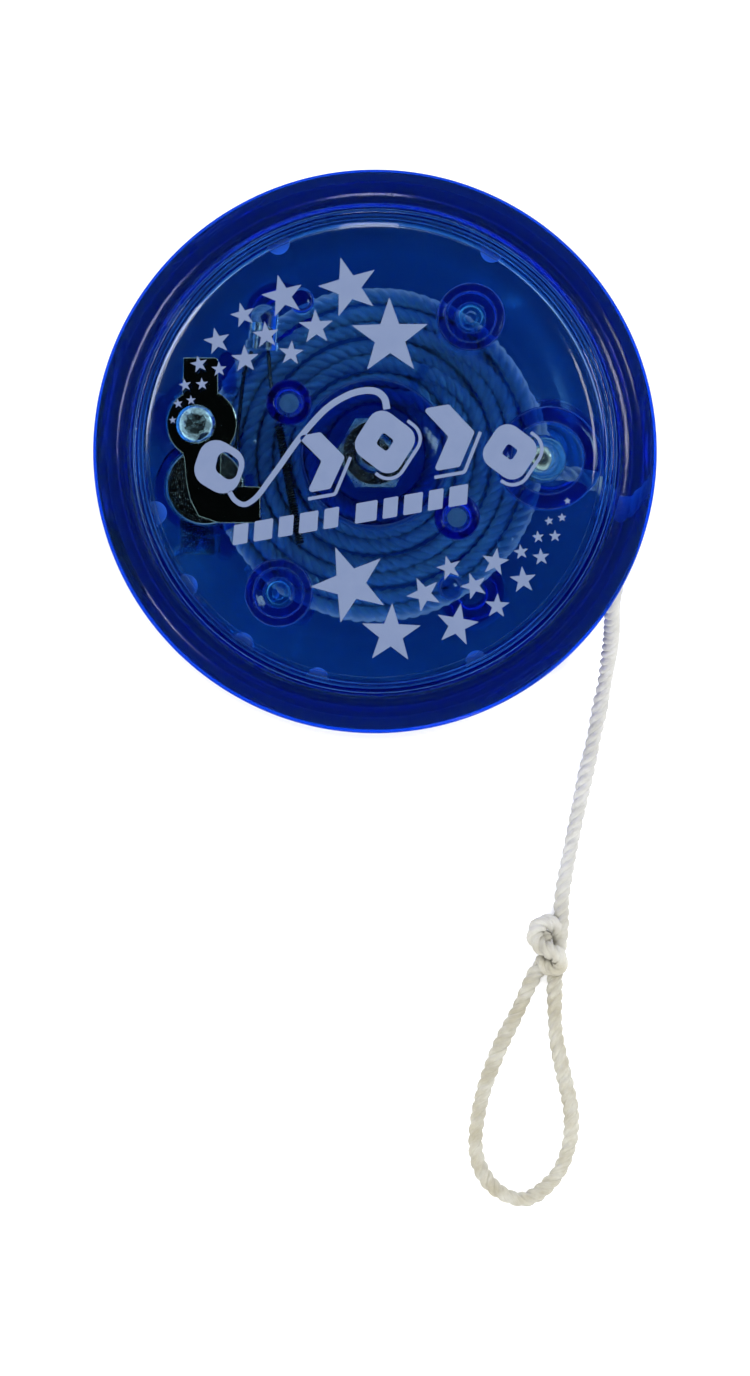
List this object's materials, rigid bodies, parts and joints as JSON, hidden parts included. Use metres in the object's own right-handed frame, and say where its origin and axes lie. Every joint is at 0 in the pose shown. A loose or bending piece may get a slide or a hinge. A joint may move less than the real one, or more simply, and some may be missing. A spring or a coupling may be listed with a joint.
{
  "type": "light-up yo-yo",
  "caption": "Translucent yo-yo: two dished halves on a bolted axle, light module in each, string wound in the gap, free end with finger loop.",
  "frame": {"origin": "centre of the rear rim's rest face, on the axle", "axes": "+Z along the axle from the rear half to the front half; -Y is where the free end of the string lies; +X is the side of the front half's ball"},
  "size_m": [0.057, 0.1072, 0.034],
  "materials": {
    "blue_shell": "translucent royal blue polystyrene, polished",
    "blue_lens": "clear blue polystyrene disc, polished, with printed stars",
    "black_steel": "blackened sheet steel, glossy",
    "screw_steel": "nickel-plated",
    "cell_steel": "nickel-plated can",
    "clear_resin": "clear epoxy",
    "leg_steel": "tinned steel wire",
    "spring_steel": "bright wire",
    "ball_steel": "polished bearing ball",
    "zinc_steel": "zinc-plated",
    "sleeve_plastic": "natural nylon",
    "cotton": "twisted cotton string"
  },
  "bodies": {
    "housing": {"front_shell": "blue_shell", "rear_shell": "blue_shell", "front_lens": "blue_lens", "rear_lens": "blue_lens", "front_contact_plate": "black_steel", "rear_contact_plate": "black_steel", "front_contact_screw": "screw_steel", "rear_contact_screw": "screw_steel", "front_inner_cell": "cell_steel", "front_outer_cell": "cell_steel", "rear_inner_cell": "cell_steel", "rear_outer_cell": "cell_steel", "front_led": "clear_resin", "rear_led": "clear_resin", "front_led_cell_leg": "leg_steel", "rear_led_cell_leg": "leg_steel", "front_led_switch_leg": "leg_steel", "rear_led_switch_leg": "leg_steel", "axle_bolt": "zinc_steel", "axle_nut": "zinc_steel"},
    "spool": {"axle_sleeve": "sleeve_plastic", "string_winding": "cotton", "string_tail": "cotton", "string_knot": "cotton", "string_loop": "cotton"},
    "front_switch": {"front_switch_spring": "spring_steel"},
    "rear_switch": {"rear_switch_spring": "spring_steel"},
    "front_weight": {"front_weight_ball": "ball_steel"},
    "rear_weight": {"rear_weight_ball": "ball_steel"}
  },
  "joints": [
    {"name": "string_spin", "type": "hinge", "parent": "housing", "child": "spool", "pos_m": [0, 0, 0.017], "axis": [0, 0, 1], "continuous": true},
    {"name": "front_switch_swing", "type": "hinge", "parent": "housing", "child": "front_switch", "pos_m": [-0.0098, 0.0029, 0.0245], "axis": [0, 0, -1], "range_deg": [0, 16], "stiffness_Nm_per_rad": 0.0002},
    {"name": "rear_switch_swing", "type": "hinge", "parent": "housing", "child": "rear_switch", "pos_m": [-0.0098, -0.0029, 0.0095], "axis": [0, 0, 1], "range_deg": [0, 16], "stiffness_Nm_per_rad": 0.0002},
    {"name": "front_ball_roll", "type": "slide", "parent": "housing", "child": "front_weight", "axis": [1, 0, 0], "range_m": [-0.0004, 0.0015]},
    {"name": "rear_ball_roll", "type": "slide", "parent": "housing", "child": "rear_weight", "axis": [1, 0, 0], "range_m": [-0.0004, 0.0015]}
  ]
}
